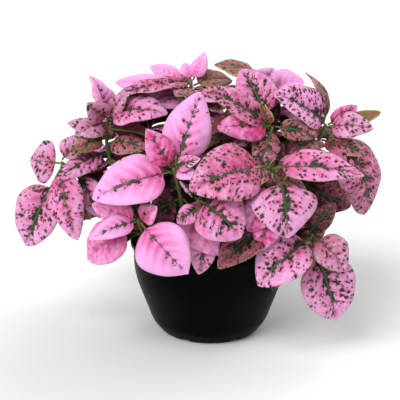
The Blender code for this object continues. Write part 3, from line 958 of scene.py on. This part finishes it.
def tube_mesh(name, centres, radii):
    """A closed tube along a line of centres."""
    points, faces = [], []
    centres = [Vector(centre) for centre in centres]
    for i, (centre, radius) in enumerate(zip(centres, radii)):
        heading = centres[min(i + 1, len(centres) - 1)] - centres[max(i - 1, 0)]
        turn = heading.to_track_quat("Z", "Y")
        for j in range(STEM_SIDES):
            angle = math.tau * j / STEM_SIDES
            points.append((centre + turn @ Vector((math.cos(angle), math.sin(angle), 0)) * radius) * MM)
    for i in range(len(centres) - 1):
        for j in range(STEM_SIDES):
            after = (j + 1) % STEM_SIDES
            faces.append((i * STEM_SIDES + j, i * STEM_SIDES + after,
                          (i + 1) * STEM_SIDES + after, (i + 1) * STEM_SIDES + j))
    faces.append(tuple(reversed(range(STEM_SIDES))))
    faces.append(tuple(range(len(points) - STEM_SIDES, len(points))))
    return smooth_mesh(name, points, faces)


def stem_mesh(name, shoot):
    """A stem that thins towards its crown and swells at each leaf node."""
    shares = [i / (STEM_RINGS - 1) for i in range(STEM_RINGS)]
    nodes = {leaf.node for leaf in shoot.leaves} | {node for node, *_ in PAIRS}
    foot = stem_point(shoot, 0) - Vector((0, 0, STEM_FOOT))
    radii = [STEM_RADIUS]
    for share in shares:
        swell = max(math.exp(-((share - node) / NODE_LENGTH) ** 2) for node in nodes)
        radii.append(STEM_RADIUS * (1 + (STEM_TIP - 1) * share) * (1 + NODE_SWELL * swell))
    return tube_mesh(name, [foot, *(stem_point(shoot, share) for share in shares)], radii)


# ---- canopy

def coarse(base, leaf, seed):
    """A leaf's upper face as a rough surface for clearance tests, and its points."""
    rows, columns = ROUGH_GRID
    grid = leaf_grid(np.array(base), leaf, rows, columns, seed)[0]
    points = grid.reshape(-1, 3).tolist()
    return BVHTree.FromPolygons(points, grid_faces(rows + STALK_ROWS, columns, 0, False)), points


class Canopy:
    """The leaves so far, and whether one more would cross them, hide them or spoil the plant's outline."""

    def __init__(self):
        self.leaves = []
        self.main = None
        self.away = Vector((0, math.cos(VIEW_RISE), -math.sin(VIEW_RISE)))
        self.up = Vector((0, math.sin(VIEW_RISE), math.cos(VIEW_RISE)))

    def add(self, surface, points):
        self.leaves.append((surface, points))

    def close_main(self):
        """Joins the front leaves so far into the surface that later leaves are seen against."""
        rows, columns = ROUGH_GRID
        points, faces = [], []
        for _, own in self.leaves:
            if np.mean(own, axis=0)[1] < FRONT_DEPTH:
                faces += grid_faces(rows + STALK_ROWS, columns, len(points), False)
                points += own
        self.main = BVHTree.FromPolygons(points, faces)

    def hides(self, start, way):
        """Whether any leaf crosses a line of sight."""
        return any(surface.ray_cast(start, way)[0] is not None for surface, _ in self.leaves)

    def seen(self, point, way):
        """Whether a main leaf stands on one side of a point."""
        return self.main.ray_cast(point + way * SIGHT_OFFSET, way)[0] is not None

    def backed(self, place):
        """Whether the viewer sees a main leaf or the pot at a place."""
        return (self.main.ray_cast(place - self.away * SIGHT_LENGTH, self.away)[0] is not None
                or place.z < RIM_HEIGHT and abs(place.x) < POT_HALF)

    def inside(self, point):
        """Whether leaves or the pot stand near a point on every side, as the viewer sees it."""
        for i in range(OUTLINE_SPOKES):
            angle = math.tau * i / OUTLINE_SPOKES
            spoke = Vector((1, 0, 0)) * math.cos(angle) + self.up * math.sin(angle)
            if not any(self.backed(point + spoke * ring) for ring in OUTLINE_RINGS):
                return False
        return True

    def has_room(self, points):
        """Whether points stay inside the CAD's box, off the pot and above the lowest leaf."""
        low, high = (np.array(corner) / MM for corner in cad_box)
        spread = np.array(points)
        radius, height = np.hypot(spread[:, 0], spread[:, 1]), spread[:, 2]
        boxed = (spread >= low + BOX_MARGIN).all() and (spread <= high - BOX_MARGIN).all()
        at_pot = (height < RIM_HEIGHT + POT_CLEARANCE) & (radius < POT_HALF + POT_CLEARANCE)
        return boxed and not at_pot.any() and height.min() >= LOWEST_LEAF

    def fits(self, surface, points, small):
        """Whether a new leaf has room; only a small one may stand in front of others."""
        if not self.has_room(points):
            return False
        for point in map(Vector, points[::SIGHT_STEP]):
            if self.seen(point, -self.away):
                continue
            if self.seen(point, self.away) and not small:
                return False
            if not self.inside(point):
                return False
        return not any(surface.overlap(other) for other, _ in self.leaves)


def grow(shoot, node, angle, rise, length, draw, canopy, grown):
    """Adds one leaf to a shoot's young leaves if it finds room, and says whether it did."""
    out = Vector((math.cos(angle), math.sin(angle), 0))
    reach = (out * math.cos(rise) + Vector((0, 0, math.sin(rise)))) * length
    face = Vector((0, 0, 1)) + out * draw.uniform(*FACE_TILTS)
    look = draw.choice(OLD_AND_SHADED_LOOKS if node < OLD_AND_SHADED_BELOW else YOUNG_LOOKS)
    leaf = Leaf(node, tuple(reach), length * draw.uniform(*WIDTHS), tuple(face), look,
                draw.uniform(*BOWS), draw.uniform(*STALKS), draw.uniform(*TAPERS))
    seed = draw.randrange(LEAF_SEEDS)
    base = leaf_base(shoot, leaf)
    surface, points = coarse(base, leaf, seed)
    fits = canopy.fits(surface, points, length <= BUD_LENGTH)
    if fits:
        canopy.add(surface, points)
        grown.append((base, leaf, seed))
    return fits


def grow_pairs(shoot, canopy, draw, grown):
    """The leaf pairs down one shoot that find room."""
    turn = draw.uniform(0, math.pi)
    for i, (node, length, climb) in enumerate(PAIRS):
        for half in range(2):
            for _ in range(PAIR_TRIES):
                angle = turn + math.pi / 2 * i + math.pi * half + draw.uniform(-PAIR_TURN, PAIR_TURN)
                rise = math.radians(climb + draw.uniform(-PAIR_TILT, PAIR_TILT))
                size = length * draw.uniform(*PAIR_SIZES)
                if grow(shoot, node, angle, rise, size, draw, canopy, grown):
                    break


def fill_canopy(shoots, young, canopy, draw):
    """Leaves wherever there is still room among the stems."""
    places = list(shoots)
    for _ in range(FILL_TRIES):
        place = draw.choice(places)
        node, angle = draw.uniform(*FILL_NODES), draw.uniform(0, math.tau)
        rise, length = math.radians(draw.uniform(*FILL_CLIMBS)), draw.uniform(*FILL_LENGTHS)
        grow(shoots[place], node, angle, rise, length, draw, canopy, young[place])


def cover(middle, away, nodes, young, canopy, draw):
    """Tries to grow one leaf across the line of sight through a point, from a stem close by."""
    for _ in range(HOLE_TRIES):
        target = middle + away * draw.uniform(-HOLE_DEPTH, HOLE_DEPTH)
        near = [item for item in nodes if HOLE_REACHES[0] < (item[3] - target).length < HOLE_REACHES[1]]
        if not near:
            continue
        place, shoot, node, root = draw.choice(near)
        reach = (target - root) * draw.uniform(*HOLE_OVERSHOOTS)
        angle, rise = math.atan2(reach.y, reach.x), math.asin(reach.z / reach.length)
        if grow(shoot, node, angle, rise, reach.length, draw, canopy, young[place]):
            return


def close_holes(shoots, young, canopy, draw):
    """Leaves across the holes that show light between the stems, as seen from each side."""
    nodes = [(place, shoot, node, stem_point(shoot, node))
             for place, shoot in shoots.items() for node in HOLE_NODES]
    for azimuth in HOLE_AZIMUTHS:
        turn = math.radians(azimuth)
        across = Vector((math.cos(turn), math.sin(turn), 0))
        away = Vector((-math.sin(turn), math.cos(turn), -math.tan(VIEW_RISE))).normalized()
        for height, offset in itertools.product(HOLE_HEIGHTS, HOLE_OFFSETS):
            middle = across * offset + Vector((0, 0, height))
            if not canopy.hides(middle - away * HOLE_SIGHT, away):
                cover(middle, away, nodes, young, canopy, draw)


def place_shoot(place, shoot, seeds, canopy, stem, leaf_materials):
    """One CAD shoot's stem and main leaves; returns the young leaves listed for it."""
    node = f"{place}_stem"
    add_piece(f"{place}_stalk", stem_mesh(node, shoot), [stem], "stem", node)
    for i, leaf in enumerate(shoot.leaves):
        node = f"{place}_leaf_{i + 1}"
        grown = (leaf_base(shoot, leaf), leaf, next(seeds))
        canopy.add(*coarse(*grown))
        mesh = leaf_mesh(node, [grown], *MAIN_GRID)
        add_piece(f"{place}_blade_{i + 1}", mesh, leaf_materials, "leaf", node)
    young = []
    for sprout in (Sprout(*row) for row in YOUNG.get(place, ())):
        reach = tuple(Vector(sprout.tip) - stem_point(shoot, sprout.node))
        leaf = Leaf(sprout.node, reach, *sprout[2:])
        young.append((leaf_base(shoot, leaf), leaf, next(seeds)))
        canopy.add(*coarse(*young[-1]))
    return young


def make_plant():
    leaf_materials = (leaf_upper(), leaf_under())
    stem = stem_material()
    canopy = Canopy()
    seeds = itertools.count(1)
    young = {place: place_shoot(place, shoot, seeds, canopy, stem, leaf_materials)
             for place, shoot in SHOOTS.items()}
    young.update((place, []) for place in EXTRA_SHOOTS)
    canopy.close_main()
    draw = random.Random(YOUNG_SEED)
    shoots = {**SHOOTS, **EXTRA_SHOOTS}
    for place, shoot in shoots.items():
        grow_pairs(shoot, canopy, draw, young[place])
    fill_canopy(shoots, young, canopy, draw)
    close_holes(shoots, young, canopy, draw)
    for place, shoot in EXTRA_SHOOTS.items():
        add_piece(f"{place}_stalk", stem_mesh(place, shoot), [stem], "stem")
    for place, grown in young.items():
        if grown:
            mesh = leaf_mesh(place, grown, *YOUNG_GRID)
            add_piece(f"{place}_young_leaves", mesh, leaf_materials, "leaf")


# ---- stage

def add_camera():
    data = bpy.data.cameras.new("camera")
    data.lens = VIEW_LENS
    camera = add_object("camera", data)
    back = Vector((0, -math.cos(VIEW_RISE), math.sin(VIEW_RISE)))
    camera.location = (Vector(VIEW_TARGET) + back * VIEW_DISTANCE) * MM
    camera.rotation_euler = back.to_track_quat("Z", "Y").to_euler()
    bpy.context.scene.camera = camera


def add_sun(name, place, softness, power):
    data = bpy.data.lights.new(name, "SUN")
    data.angle = math.radians(softness)
    data.energy = power
    light = add_object(name, data)
    light.location = Vector(place) * MM
    light.rotation_euler = (Vector(place) - Vector(SUN_TARGET)).to_track_quat("Z", "Y").to_euler()


def add_studio():
    world = bpy.data.worlds.new("studio")
    bpy.context.scene.world = world
    world.use_nodes = True
    world.node_tree.nodes["Background"].inputs["Color"].default_value = colour(1, 1, 1)
    world.node_tree.nodes["Background"].inputs["Strength"].default_value = WORLD_STRENGTH
    add_sun("key", *KEY_SUN)
    add_sun("back_fill", *BACK_SUN)
    bpy.context.scene.view_settings.view_transform = "Standard"

    mesh = bpy.data.meshes.new("floor")
    reach = FLOOR_REACH * MM
    corners = [(x * reach, y * reach, 0) for x, y in ((-1, -1), (1, -1), (1, 1), (-1, 1))]
    mesh.from_pydata(corners, [], [(0, 1, 2, 3)])
    floor = add_object("floor", mesh)
    s = Shader("floor", Roughness=0.9, Base_Color=FLOOR_WHITE)
    mesh.materials.append(s.material)


add_camera()
add_studio()
make_pot()
make_soil()
make_plant()
